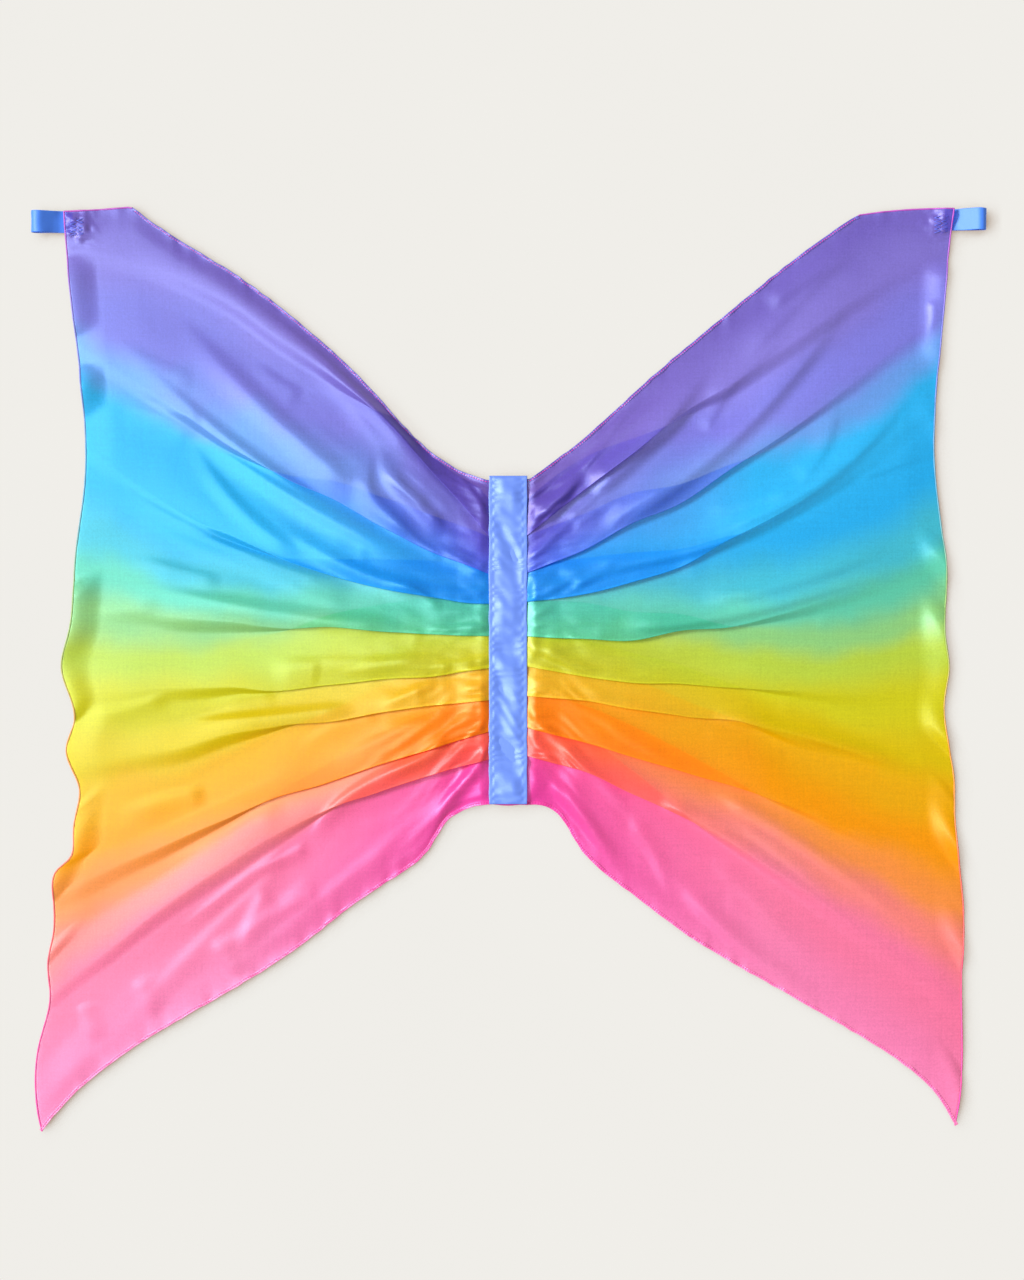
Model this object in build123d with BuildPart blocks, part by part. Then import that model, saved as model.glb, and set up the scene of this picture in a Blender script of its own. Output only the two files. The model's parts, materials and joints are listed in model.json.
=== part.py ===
"""A pair of child's dress-up wings: one silk square, pleated at the middle under a satin band.

Frame: X across the wings, Z up along the band, -Y out of the face that is seen and +Y towards
the wearer's back. The origin is the middle of the band, on its back face. Laid flat, the wings
rest on the plane y = rest_y. Every outline point is (distance out from the band's middle, height).
"""

from build123d import *
import os

# Satin band and the pleats that it holds
band_width = 38.0
band_height = 328.0
ribbon_thickness = 0.8
pleat_count = 8
pleat_stack_depth = 3.2
pleat_lip = 0.8
pleat_overhang = 1.5
band_depth = 2 * ribbon_thickness + pleat_stack_depth

# Where the wings rest when laid flat, and how each one hinges beside the band
rest_y = 5.0
hinge_out = band_width / 2 + 2.5
hinge_y = -band_depth / 2
hinge_radius = 2.0

# Front of the silk: thick where the pleats stack up, thin where the cloth lies single, given as
# (distance out from the hinge, y)
silk_front = [(40.0, -3.4), (160.0, 1.0), (300.0, 2.8), (395.0, 3.4), (470.0, 3.4)]
silk_settle = 25.0
silk_reach = silk_front[-1][0]
corner_front_y = silk_front[-1][1]

# Hems and threads
hem_width = 2.8
hem_thickness = 2.0
thread_width = 0.8
thread_thickness = 0.5
band_stitch_inset = 3.2
hem_stitch_inset = 1.7

# Finger loops: ribbon folded double and sewn at each wing's top outer corner
finger_ribbon_width = 21.5
finger_ribbon_thickness = 0.6
finger_loop_radius = 7.0
finger_loop_end_radius = 0.8
finger_hinge_gap = 1.4
finger_loop_reach = 32.5
corner_tack_inset = 8.0
corner_tack_width = 10.0
corner_tack_height = 16.0
corner_tack_turns = 7

# Shoulder loops: elastic folded double, hanging behind the band
elastic_width = 12.0
elastic_thickness = 1.2
elastic_gap = 1.6
shoulder_loop_length = 190.0
shoulder_loop_out = 7.5
shoulder_loop_clearance = 0.6
shoulder_hinge_drop = 14.0
shoulder_tack_height = 6.0

# Half the depth of a cut that has to pass right through a wing
far = 600.0

left_wing = {
    "side": -1,
    "neck": [
        (19.5, 159.5), (67, 180.5), (143, 257.5), (208, 316.5), (263, 359), (334, 403.5),
        (377, 433.5),
    ],
    "top": [(377, 433.5), (408, 431), (444.5, 429)],
    "edge": [
        (444.5, 429), (438, 350), (431, 290), (424.5, 150), (434, 76), (440, 4.5),
        (447, -27.5), (434, -80), (442.5, -110), (429.5, -147), (435, -190), (438, -218),
        (452, -231), (455.5, -255), (455.5, -295), (461, -326), (458.5, -355), (469, -402),
        (472.5, -461), (466.6, -492),
    ],
    "tail": [
        (466.6, -492), (427, -447.5), (310, -369), (212.5, -309), (124.6, -244),
        (79, -209), (60, -180), (42, -169), (19.5, -164),
    ],
}
right_wing = {
    "side": 1,
    "neck": [
        (19.5, 159.5), (33.7, 169.5), (67, 194.5), (140, 259.5), (227, 333), (308, 397),
        (351, 425.5),
    ],
    "top": [(351, 425.5), (378, 429), (446, 431.5)],
    "edge": [
        (446, 431.5), (440, 376), (432.5, 293), (427, 178), (434, 113), (439, 45),
        (437, 4.5), (441.5, -28), (437.5, -55), (437.5, -85), (447, -142), (447, -171),
        (456, -268), (454, -343), (455, -404), (453.6, -445), (447.5, -486),
    ],
    "tail": [
        (447.5, -486), (419, -444), (366, -404.5), (260, -343), (172, -290), (114, -246),
        (73, -209), (47, -171.5), (19.5, -165),
    ],
}
edge_names = ["neck", "top", "edge", "tail"]


def save(finished, name):
    finished.part.label = name
    export_step(finished.part, f"parts/{name}.step")


def moved_in(before, point, after, distance):
    """The point, moved to the inner side of the path before-point-after by distance."""
    arriving = (Vector(*point) - Vector(*before)).normalized()
    leaving = (Vector(*after) - Vector(*point)).normalized()
    along = (arriving + leaving).normalized()
    inward = Vector(along.Y, -along.X)
    miter = distance / max(along.dot(leaving), 0.3)
    moved = Vector(*point) + inward * miter
    return (moved.X, moved.Y)


def inset_edges(wing, distance):
    """Each edge of a wing's outline, moved in by distance, still meeting at the corners."""
    path = [point for name in edge_names for point in wing[name][1:]]
    path = [wing["neck"][0]] + path
    inner = [path[0]]
    for before, point, after in zip(path, path[1:], path[2:]):
        inner.append(moved_in(before, point, after, distance))
    inner.append(path[-1])
    inner[0] = (path[0][0], path[0][1] - distance)
    inner[-1] = (path[-1][0], path[-1][1] + distance)
    edges = {}
    start = 0
    for name in edge_names:
        end = start + len(wing[name]) - 1
        edges[name] = inner[start:end + 1]
        start = end
    return edges


def on_side(wing, points):
    return [(wing["side"] * out, height) for out, height in points]


def silk_profile(wing):
    """Plan section of the silk: rounded about its hinge, deep near the band, thin at the edge."""
    side = wing["side"]
    hinge_x = side * hinge_out
    front = [(hinge_x + side * out, y) for out, y in silk_front]
    with BuildLine() as outline:
        ThreePointArc(
            (hinge_x, hinge_y - hinge_radius),
            (hinge_x - side * hinge_radius, hinge_y),
            (hinge_x, hinge_y + hinge_radius),
        )
        Polyline(
            (hinge_x, hinge_y + hinge_radius),
            (hinge_x + side * silk_settle, rest_y),
            (hinge_x + side * silk_reach, rest_y),
            *reversed(front),
            (hinge_x, hinge_y - hinge_radius),
        )
    return outline


def back_layer_profile(wing, front, back):
    """Plan section of a layer that follows the silk's back, from front to back in front of it."""
    side = wing["side"]
    hinge_x = side * hinge_out
    path = [(0, hinge_y + hinge_radius), (silk_settle, rest_y), (silk_reach, rest_y)]
    forward = [(hinge_x + side * out, y - front) for out, y in path]
    behind = [(hinge_x + side * out, y - back) for out, y in path]
    with BuildLine() as outline:
        Polyline(*forward, *reversed(behind), close=True)
    return outline


def make_silk(wing):
    """One wing's silk inside its hems: a sheet with the folds pressed flat into its thickness."""
    inner = inset_edges(wing, hem_width)
    with BuildPart() as silk:
        with BuildSketch(Plane.XZ):
            with BuildLine():
                for name in edge_names:
                    Spline(*on_side(wing, inner[name]))
                Line(*on_side(wing, [inner["tail"][-1], inner["neck"][0]]))
            make_face()
        extrude(amount=far, both=True)
        with BuildSketch(Plane.XY):
            add(silk_profile(wing).line)
            make_face()
        extrude(amount=far, both=True, mode=Mode.INTERSECT)
    return silk


def make_edge_strip(wing, name, near, wide, front, back):
    """A strip along one edge, from near to wide in from it, and from front to back in depth.

    Depths are measured forward from the silk's back, which the strip follows.
    """
    outer = inset_edges(wing, near)[name]
    inner = inset_edges(wing, wide)[name]
    with BuildPart() as strip:
        with BuildSketch(Plane.XZ):
            with BuildLine():
                Spline(*on_side(wing, outer))
                Line(*on_side(wing, [outer[-1], inner[-1]]))
                Spline(*on_side(wing, inner[::-1]))
                Line(*on_side(wing, [inner[0], outer[0]]))
            make_face()
        extrude(amount=far, both=True)
        with BuildSketch(Plane.XY):
            add(back_layer_profile(wing, front, back).line)
            make_face()
        extrude(amount=far, both=True, mode=Mode.INTERSECT)
    return strip


def make_hem(wing, name):
    return make_edge_strip(wing, name, 0, hem_width, hem_thickness, 0)


def make_hem_stitch(wing, name):
    """The thread that holds a turned hem, lying on its front."""
    near = hem_stitch_inset - thread_width / 2
    front = hem_thickness + thread_thickness
    return make_edge_strip(wing, name, near, near + thread_width, front, hem_thickness)


def make_corner_tack(wing):
    """The zigzag thread that sews a finger loop's ribbon to the silk's top outer corner."""
    corner_out, corner_height = wing["top"][-1]
    top = corner_height - corner_tack_inset
    step = corner_tack_height / corner_tack_turns
    near_out = corner_out - corner_tack_inset
    columns = [near_out, near_out - corner_tack_width]
    path = [(columns[turn % 2], top - turn * step) for turn in range(corner_tack_turns + 1)]
    with BuildPart() as tack:
        with BuildSketch(Plane.XZ.offset(-corner_front_y)):
            with BuildLine():
                Polyline(*on_side(wing, path))
            trace(line_width=thread_width)
        extrude(amount=thread_thickness)
    return tack


def make_finger_loop(wing):
    """A ribbon folded into a loop: two sewn ends at the wing's corner and a round open end."""
    side = wing["side"]
    corner_out, corner_height = wing["top"][-1]
    end_out = corner_out + finger_hinge_gap + finger_loop_end_radius
    end_centre = (side * end_out, rest_y - finger_loop_end_radius)
    bend_out = corner_out + finger_loop_reach - finger_loop_radius
    bend_centre = (side * bend_out, rest_y - finger_loop_radius)
    with BuildPart() as loop:
        with BuildSketch(Plane.XY.offset(corner_height - finger_ribbon_width)):
            with Locations(end_centre):
                Circle(finger_loop_end_radius)
            with Locations(bend_centre):
                Circle(finger_loop_radius)
            make_hull()
            inner_end = finger_loop_end_radius - finger_ribbon_thickness
            inner_bend = finger_loop_radius - finger_ribbon_thickness
            with BuildSketch(mode=Mode.SUBTRACT):
                with Locations(end_centre):
                    Circle(inner_end)
                with Locations(bend_centre):
                    Circle(inner_bend)
                make_hull()
        extrude(amount=finger_ribbon_width)
    return loop


def make_wing(wing, name):
    """One wing: its silk, hems and threads, and the finger loop at its corner."""
    save(make_silk(wing), f"{name}_wing_silk")
    save(make_hem(wing, "neck"), f"{name}_neck_hem")
    save(make_hem(wing, "top"), f"{name}_top_rolled_hem")
    save(make_hem(wing, "edge"), f"{name}_side_rolled_hem")
    save(make_hem(wing, "tail"), f"{name}_tail_hem")
    save(make_hem_stitch(wing, "neck"), f"{name}_neck_stitch")
    save(make_hem_stitch(wing, "tail"), f"{name}_tail_stitch")
    save(make_corner_tack(wing), f"{name}_corner_tack")
    save(make_finger_loop(wing), f"{name}_finger_loop")


def make_ribbon(front_y):
    """A satin ribbon as long as the band, from front_y to ribbon_thickness behind it."""
    with BuildPart() as ribbon:
        with BuildSketch(Plane.XZ.offset(-front_y - ribbon_thickness)):
            Rectangle(band_width, band_height)
        extrude(amount=ribbon_thickness)
    return ribbon


def make_pleats():
    """The silk gathered between the ribbons: each pleat laps over the next one down."""
    back = -ribbon_thickness
    front = back - pleat_stack_depth
    top = band_height / 2
    pitch = (band_height + pleat_overhang) / pleat_count
    steps = []
    for pleat in range(pleat_count):
        pleat_top = top - pleat * pitch
        steps += [(front + pleat_lip, pleat_top), (front, pleat_top - pitch)]
    bottom = steps[-1][1]
    with BuildPart() as pleats:
        with BuildSketch(Plane.YZ.offset(-band_width / 2 + thread_width)):
            with BuildLine():
                Polyline((back, top), *steps, (back, bottom), close=True)
            make_face()
        extrude(amount=band_width - 2 * thread_width)
    return pleats


def make_band_stitch(side):
    """The topstitching down one long side of the band."""
    stitch_x = side * (band_width / 2 - band_stitch_inset)
    with BuildPart() as stitch:
        with BuildSketch(Plane.XZ.offset(band_depth)):
            with Locations((stitch_x, 0)):
                SlotOverall(band_height - 2 * thread_width, thread_width, rotation=90)
        extrude(amount=thread_thickness)
    return stitch


def make_shoulder_loop(side):
    """An elastic folded double and laid flat, round about its hinge at the top end."""
    outer_radius = elastic_gap / 2 + elastic_thickness
    centre_y = shoulder_loop_clearance + outer_radius
    hinge_height = band_height / 2 - shoulder_hinge_drop
    slot_centre = (centre_y, hinge_height - shoulder_loop_length / 2 + outer_radius)
    with BuildPart() as loop:
        with BuildSketch(Plane.YZ.offset(side * shoulder_loop_out - elastic_width / 2)):
            with Locations(slot_centre):
                SlotOverall(shoulder_loop_length, 2 * outer_radius, rotation=90)
                inner_length = shoulder_loop_length - 2 * elastic_thickness
                SlotOverall(inner_length, elastic_gap, rotation=90, mode=Mode.SUBTRACT)
        extrude(amount=elastic_width)
    return loop


def make_shoulder_tack(side):
    """The thread that sews a shoulder loop to the band's back, in the gap between them."""
    hinge_height = band_height / 2 - shoulder_hinge_drop
    with BuildPart() as tack:
        with BuildSketch(Plane.XZ):
            with Locations((side * shoulder_loop_out, hinge_height)):
                SlotOverall(elastic_width, shoulder_tack_height)
        extrude(amount=-thread_thickness)
    return tack


os.makedirs("parts", exist_ok=True)

save(make_ribbon(-ribbon_thickness), "spine_band_back")
save(make_pleats(), "spine_pleats")
save(make_ribbon(-band_depth), "spine_band_front")
for side, name in [(-1, "left"), (1, "right")]:
    save(make_band_stitch(side), f"spine_stitch_{name}")
    save(make_shoulder_tack(side), f"{name}_shoulder_tack")
    save(make_shoulder_loop(side), f"{name}_shoulder_loop")
make_wing(left_wing, "left")
make_wing(right_wing, "right")
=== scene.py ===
import json
import math
from collections import namedtuple

import bmesh
import bpy
import numpy as np
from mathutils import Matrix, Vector


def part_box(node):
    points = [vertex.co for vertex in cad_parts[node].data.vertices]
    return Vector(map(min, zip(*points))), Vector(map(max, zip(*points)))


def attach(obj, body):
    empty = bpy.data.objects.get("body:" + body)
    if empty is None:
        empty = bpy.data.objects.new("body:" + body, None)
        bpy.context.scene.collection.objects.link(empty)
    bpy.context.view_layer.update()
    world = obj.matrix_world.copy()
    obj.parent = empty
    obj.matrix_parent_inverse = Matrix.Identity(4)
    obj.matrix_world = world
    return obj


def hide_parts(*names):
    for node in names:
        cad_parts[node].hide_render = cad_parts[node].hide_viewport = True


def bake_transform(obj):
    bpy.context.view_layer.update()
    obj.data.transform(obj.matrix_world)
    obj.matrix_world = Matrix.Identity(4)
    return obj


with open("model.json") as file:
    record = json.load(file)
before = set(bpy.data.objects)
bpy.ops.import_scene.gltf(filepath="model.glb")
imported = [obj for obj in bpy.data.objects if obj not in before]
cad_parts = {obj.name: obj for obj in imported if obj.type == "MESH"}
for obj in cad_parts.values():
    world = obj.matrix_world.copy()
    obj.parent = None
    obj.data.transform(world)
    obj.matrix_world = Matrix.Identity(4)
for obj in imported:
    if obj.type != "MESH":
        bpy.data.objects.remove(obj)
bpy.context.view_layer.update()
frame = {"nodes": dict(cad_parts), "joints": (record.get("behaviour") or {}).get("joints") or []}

MM = 0.001
SIDES = {"left": -1, "right": 1}
ACROSS = np.array([1.0, 0.0, 0.0])
FORWARD = np.array([0.0, -1.0, 0.0])
UP = np.array([0.0, 0.0, 1.0])

# Places that the frame gives
band_low, band_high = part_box("spine_band_front")
band_back_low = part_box("spine_band_back")[0]
band_half_width = band_high.x
rest_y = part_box("left_wing_silk")[1].y
hinge = {j["child"]: Vector(j["pos_m"]) for j in frame["joints"]}

# Silk sheet: its mesh, how far it is tucked under the band, where its rear layer lies, how far its
# warm dyes lag behind their places at the band, and how far inside and outside its hinge it bends
SHEET_COLUMNS = 230
COLUMN_CROWDING = 1.12
STRIP_ROWS = 30
TURN_ROWS = 20
SILK_THICKNESS = 0.3 * MM
TUCKED_IN = 2.5 * MM
SILK_FLOOR = rest_y - 0.6 * MM
PINCHED_FLOOR = band_back_low.y - 0.3 * MM
SETTLE_LENGTH = 34 * MM
DYE_LAG = 0.09

# Pleats: how high their lips stand, how they puff up beside the band, and how much they wander.
# Places along a pleat are shares of the span.
LIP_HEIGHT = 2.6 * MM
CREST_AT_BAND = 0.35
CREST_RISE = 0.3
PUFF_HEIGHT = 5 * MM
PUFF_PEAK = 0.08
PUFF_FADE = 0.36
FLAT_FROM = 0.55
FLATTENING = 0.75
LIP_WANDER = 3.2 * MM
WANDER_CELLS = 8
WANDER_FADE = 0.2
TOP_ROOM = 0.2

# Loose folds: a fold's two sides as shares of its width, how it fades at its two ends, and the
# small folds that are drawn at random, all over the wing and close beside the band, in mm
FOLD_STRENGTH = 0.9
STEEP_SIDE = 0.5
GENTLE_SIDE = 1.25
FOLD_FADE_IN = 0.2
FOLD_FADE_OUT = 0.45
FAN_CENTRE = -60
FAN_PULL = 0.9
WING_FOLDS = dict(count=40, reach=(60, 400), length=(50, 130), width=(6, 13), lift=(0.4, 1.6))
BAND_FOLDS = dict(count=26, reach=(34, 110), length=(44, 110), width=(4.5, 8), lift=(1.2, 2.8))
SWELL_HEIGHT = 1.6 * MM
GATHER_HEIGHT = 2.4 * MM
GATHER_LENGTH = 45 * MM
BAND_CLAMP = 12 * MM

# Edges of the silk: puckers along the hems, curls along the sides, the crumpled corners
PUCKER_HEIGHT = 0.9 * MM
PUCKER_REACH = 8 * MM
CURL_HEIGHT = 7.5 * MM
CURL_SPAN = 0.07
CRUMPLE_HEIGHT = 3.4 * MM
CRUMPLE_REACH = 13 * MM
CRUMPLE_WINDOW = 80 * MM

# Hems, threads and ribbons
HEM_WIDTH = 3.0 * MM
HEM_THICKNESS = 1.1 * MM
HEM_OVERHANG = 0.3 * MM
HEM_SEAM = 0.55 * HEM_WIDTH
HEM_WAVE = 0.45 * MM
ROLLED_RADIUS = 0.8 * MM
ROLLED_WRAP_PITCH = 1.7 * MM
HEM_STITCH_PITCH = 2.6 * MM
HEM_STITCH_RADIUS = 0.34 * MM
BAND_STITCH_PITCH = 2.9 * MM
BAND_STITCH_INSET = 3.2 * MM
BAND_PUCKER_PITCH = 9.5 * MM
THREAD_RADIUS = 0.2 * MM
RIBBON_THICKNESS = 0.6 * MM
ELASTIC_THICKNESS = 1.2 * MM
ELASTIC_CORDS = 9
ELASTIC_WEAVE_PITCH = 1.5 * MM

# The stage wall stands clear of wings that are folded right back; a clear plane close behind the
# wings carries a painted shadow where a surface under them would show shadows
WALL_DISTANCE = 0.5
CONTACT_GAP = 3 * MM

# The pleats of each wing, top to bottom. Heights are those of a pleat's lip at the band, at half
# span and at the outer edge; lap is how far out (share of the span) the pleat still laps over the
# next one; crest is how high the fold stands at half span.
Pleat = namedtuple("Pleat", "band middle edge lap crest")
PLEATS = {
    "left": [
        Pleat(100, 306, 396, 0.50, 1),
        Pleat(65, 165, 300, 0.95, 5),
        Pleat(36, 78, 196, 0.95, 6),
        Pleat(4, 14, 40, 0.85, 4),
        Pleat(-28, -48, -48, 0.90, 2),
        Pleat(-60, -88, -128, 0.85, 2),
        Pleat(-91, -162, -256, 0.95, 2),
        Pleat(-119, -200, -356, 0.60, 1),
    ],
    "right": [
        Pleat(102, 262, 396, 0.60, 4),
        Pleat(66, 172, 334, 0.95, 5),
        Pleat(38, 98, 240, 0.95, 5),
        Pleat(4, 16, 94, 0.90, 5),
        Pleat(-26, -50, -46, 0.95, 3),
        Pleat(-56, -84, -138, 0.90, 3),
        Pleat(-87, -152, -232, 0.95, 4),
        Pleat(-115, -208, -372, 0.70, 4),
    ],
}

# Soft folds lying on each wing: a crest line of three (distance out, height) points, the width from
# the crest to where the fold has mostly died away, and how far it stands up.
Fold = namedtuple("Fold", "near middle far width lift")
FOLDS = {
    "left": [
        Fold((85, 182), (140, 236), (195, 282), 11, 4.5),
        Fold((60, 112), (98, 146), (136, 196), 8, 4.5),
        Fold((84, 102), (136, 146), (132, 190), 11, 5.0),
        Fold((146, 146), (230, 222), (338, 326), 13, 5.0),
        Fold((104, 92), (232, 166), (384, 290), 10, 4.0),
        Fold((78, 76), (200, 134), (338, 224), 9, 3.6),
        Fold((150, 52), (280, 94), (410, 164), 11, 5.0),
        Fold((76, 54), (150, 70), (245, 128), 9, 4.2),
        Fold((204, 84), (268, 134), (320, 200), 9, 2.2),
        Fold((104, 16), (230, 28), (390, 58), 12, 5.0),
        Fold((60, -18), (150, -22), (260, -20), 10, 2.4),
        Fold((150, -66), (240, -76), (330, -84), 9, 2.8),
        Fold((44, -106), (150, -148), (196, -200), 8, 4.0),
        Fold((110, -196), (190, -262), (300, -350), 10, 1.2),
        Fold((220, -226), (300, -296), (396, -400), 11, 1.1),
        Fold((60, 140), (160, 258), (300, 366), 9, 2.4),
        Fold((238, -250), (256, -282), (264, -318), 14, 2.0),
        Fold((294, -298), (280, -322), (262, -342), 12, 1.5),
        Fold((372, -338), (362, -360), (350, -380), 12, 1.4),
        Fold((428, -360), (420, -386), (410, -406), 11, 1.3),
    ],
    "right": [
        Fold((80, 146), (142, 198), (206, 284), 14, 7.5),
        Fold((34, 118), (56, 142), (74, 174), 9, 4.0),
        Fold((92, 108), (238, 214), (350, 360), 17, 9.0),
        Fold((88, 72), (250, 112), (404, 208), 9, 4.6),
        Fold((190, 104), (322, 164), (404, 256), 12, 4.6),
        Fold((286, 156), (318, 196), (328, 250), 10, 1.8),
        Fold((196, 206), (214, 240), (240, 276), 9, 1.5),
        Fold((190, 38), (290, 58), (392, 98), 9, 4.2),
        Fold((110, 14), (230, 26), (400, 76), 10, 5.0),
        Fold((60, -14), (120, -18), (210, -20), 9, 2.2),
        Fold((200, -76), (310, -100), (426, -142), 8, 4.4),
        Fold((150, -160), (222, -200), (318, -270), 9, 6.0),
        Fold((52, -138), (84, -188), (118, -236), 8, 3.6),
        Fold((118, -178), (146, -216), (166, -262), 9, 2.4),
        Fold((260, 330), (300, 362), (352, 384), 12, 2.6),
        Fold((424, 342), (426, 320), (420, 300), 9, 3.0),
        Fold((170, -250), (250, -320), (350, -400), 9, 3.0),
        Fold((200, -150), (300, -210), (420, -300), 9, 4.6),
    ],
}


def srgb(red, green, blue):
    """A linear colour with alpha from 0 to 255 display values."""
    linear = [((c / 255 + 0.055) / 1.055) ** 2.4 if c > 10 else c / 255 / 12.92
              for c in (red, green, blue)]
    return (*linear, 1.0)


# The silk's dye over most of a wing, its dye in the gathers beside the band, and the dye of its edge
# thread, each as (share of the way down the cloth, colour). The gathers' colours sit at other places
# and are mostly deeper and darker: dye, with painted shade of the gathered layers. Over
# GATHERED_SPAN, a share of the span, the gathers' dye and painted shade give way to the wing's.
DYE = [
    (0.00, (108, 92, 196)),
    (0.04, (126, 114, 216)),
    (0.105, (120, 122, 230)),
    (0.15, (96, 158, 242)),
    (0.19, (32, 182, 252)),
    (0.285, (24, 176, 248)),
    (0.345, (56, 190, 216)),
    (0.385, (84, 204, 172)),
    (0.435, (140, 212, 126)),
    (0.48, (186, 216, 60)),
    (0.535, (212, 210, 14)),
    (0.60, (224, 196, 0)),
    (0.65, (242, 174, 0)),
    (0.71, (255, 154, 0)),
    (0.76, (255, 146, 62)),
    (0.81, (255, 130, 124)),
    (0.87, (255, 120, 166)),
    (1.00, (255, 130, 188)),
]
# Dye by the band, with painted shade: mostly deeper and darker where the silk is gathered in layers
DYE_AND_SHADE_AT_BAND = [
    (0.00, (108, 84, 186)),
    (0.15, (104, 92, 205)),
    (0.19, (92, 116, 232)),
    (0.26, (36, 146, 245)),
    (0.31, (36, 158, 245)),
    (0.375, (92, 205, 190)),
    (0.42, (104, 212, 165)),
    (0.49, (205, 216, 55)),
    (0.535, (220, 214, 40)),
    (0.60, (242, 205, 45)),
    (0.635, (246, 192, 35)),
    (0.672, (255, 152, 15)),
    (0.69, (255, 138, 20)),
    (0.75, (255, 112, 80)),
    (0.795, (255, 100, 100)),
    (0.90, (252, 66, 160)),
    (1.00, (250, 56, 170)),
]
EDGE_DYE = [
    (0.00, (190, 70, 190)),
    (0.14, (120, 120, 210)),
    (0.30, (90, 160, 190)),
    (0.44, (150, 180, 90)),
    (0.60, (230, 150, 50)),
    (0.78, (250, 90, 90)),
    (0.90, (250, 70, 160)),
    (1.00, (245, 60, 165)),
]
GATHERED_SPAN = (0.03, 0.56)
WHITE = srgb(255, 255, 255)

# How much of the silk lets light scatter through, and how much is open between its threads
TRANSLUCENT_SHARE = 0.2
SHEER_SHARE = 0.26


def smooth_step(t):
    t = np.clip(t, 0, 1)
    return t * t * (3 - 2 * t)


def unit(vectors):
    return vectors / np.linalg.norm(vectors, axis=-1, keepdims=True)


def soft_noise(x, y, cells_x, cells_y, seed):
    """Smooth noise from -1 to 1, for x and y from 0 to 1, with the given number of cells."""
    grid = np.random.default_rng(seed).uniform(-1, 1, (cells_x + 2, cells_y + 2))
    px = np.clip(x, 0, 1) * cells_x
    py = np.clip(y, 0, 1) * cells_y
    ix = px.astype(int)
    iy = py.astype(int)
    fx = smooth_step(px - ix)
    fy = smooth_step(py - iy)
    near = grid[ix, iy] * (1 - fx) + grid[ix + 1, iy] * fx
    far = grid[ix, iy + 1] * (1 - fx) + grid[ix + 1, iy + 1] * fx
    return near * (1 - fy) + far * fy


# ---- Reading each wing's outline from its CAD hems

def node_edges(node):
    """Every mesh edge of a CAD node, as its two ends' coordinates."""
    mesh = frame["nodes"][node].data
    points = np.array([v.co for v in mesh.vertices])
    pairs = np.array([e.vertices for e in mesh.edges])
    return points[pairs[:, 0]], points[pairs[:, 1]]


def outer_line(node, values, along, across, sign):
    """How far a CAD node reaches across, towards sign, at each value along another axis."""
    start, end = node_edges(node)
    low = np.minimum(start[:, along], end[:, along])
    high = np.maximum(start[:, along], end[:, along])
    run = end[:, along] - start[:, along]
    run = np.where(np.abs(run) < 1e-9, 1e-9, run)
    reached = []
    for value in np.clip(values, low.min(), high.max()):
        spans = (low - 1e-7 <= value) & (high + 1e-7 >= value)
        share = np.clip((value - start[spans, along]) / run[spans], 0, 1)
        height = start[spans, across] + share * (end[spans, across] - start[spans, across])
        reached.append((sign * height).max() * sign)
    return np.array(reached)


class WingOutline:
    """One wing's outline, read from its CAD hems. Distances out are positive on both sides."""

    def __init__(self, name):
        self.name = name
        self.side = SIDES[name]
        self.seed = 11 if self.side < 0 else 23
        samples = 400
        self.start = band_half_width - TUCKED_IN
        self.corner_out = self.reach(f"{name}_top_rolled_hem")
        self.apex_out = self.reach(f"{name}_neck_hem")
        self.tip_out = self.reach(f"{name}_tail_hem")
        self.outs = np.linspace(self.start, max(self.corner_out, self.tip_out), samples)
        neck = outer_line(f"{name}_neck_hem", self.side * self.outs, 0, 2, 1)
        top = outer_line(f"{name}_top_rolled_hem", self.side * self.outs, 0, 2, 1)
        self.tops = np.where(self.outs < self.apex_out, neck, top)
        self.bottoms = outer_line(f"{name}_tail_hem", self.side * self.outs, 0, 2, -1)
        low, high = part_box(f"{name}_side_rolled_hem")
        self.edge_low, self.edge_high = low.z, high.z
        self.edge_heights = np.linspace(low.z, high.z, samples)
        reach = outer_line(f"{name}_side_rolled_hem", self.edge_heights, 2, 0, self.side)
        self.edge_outs = self.side * reach

    def reach(self, node):
        low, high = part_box(node)
        return max(self.side * low.x, self.side * high.x)

    def top(self, out):
        return np.interp(out, self.outs, self.tops)

    def bottom(self, out):
        return np.interp(out, self.outs, self.bottoms)

    def edge(self, height):
        return np.interp(height, self.edge_heights, self.edge_outs)


# ---- The shape of the silk

def through_three(share, near, middle, far):
    """The quadratic that is near at 0, middle at a half and far at 1."""
    bow = middle - (near + far) / 2
    return near + (far - near) * share + 4 * bow * share * (1 - share)


def sheet_rows(pleats):
    """Each row's place as (key before it, share of the way to the next key)."""
    rows = []
    segments = 2 * len(pleats) + 1
    for segment in range(segments):
        count = STRIP_ROWS if segment % 2 == 0 else TURN_ROWS
        for step in range(count):
            rows.append((segment, step / count))
    rows.append((segments - 1, 1.0))
    return rows


def lip_relief(share, crest):
    """How far forward a pleat's lip stands along the span: puffed by the band, flat at the edge."""
    puff = PUFF_HEIGHT * smooth_step(share / PUFF_PEAK)
    puff = puff * (1 - smooth_step((share - PUFF_PEAK) / PUFF_FADE))
    standing = CREST_AT_BAND + (1 - CREST_AT_BAND) * smooth_step(share / CREST_RISE)
    flattened = 1 - FLATTENING * smooth_step((share - FLAT_FROM) / (1 - FLAT_FROM))
    arch = crest * MM * np.sin(np.pi * share ** 0.8)
    return (LIP_HEIGHT + arch * standing + puff) * flattened


def key_dyes(share, band_dye, edge_dye):
    """Each key's dye along the span, from its dye at the band to its dye at the outer edge."""
    warm = np.clip((band_dye - 0.5) / 0.5, 0, 1)
    band_dye = band_dye - DYE_LAG * np.sin(math.pi * warm ** 1.6) ** 2
    spread = smooth_step(share * 1.1)
    return np.outer(band_dye, 1 - spread) + np.outer(edge_dye, spread)


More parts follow.
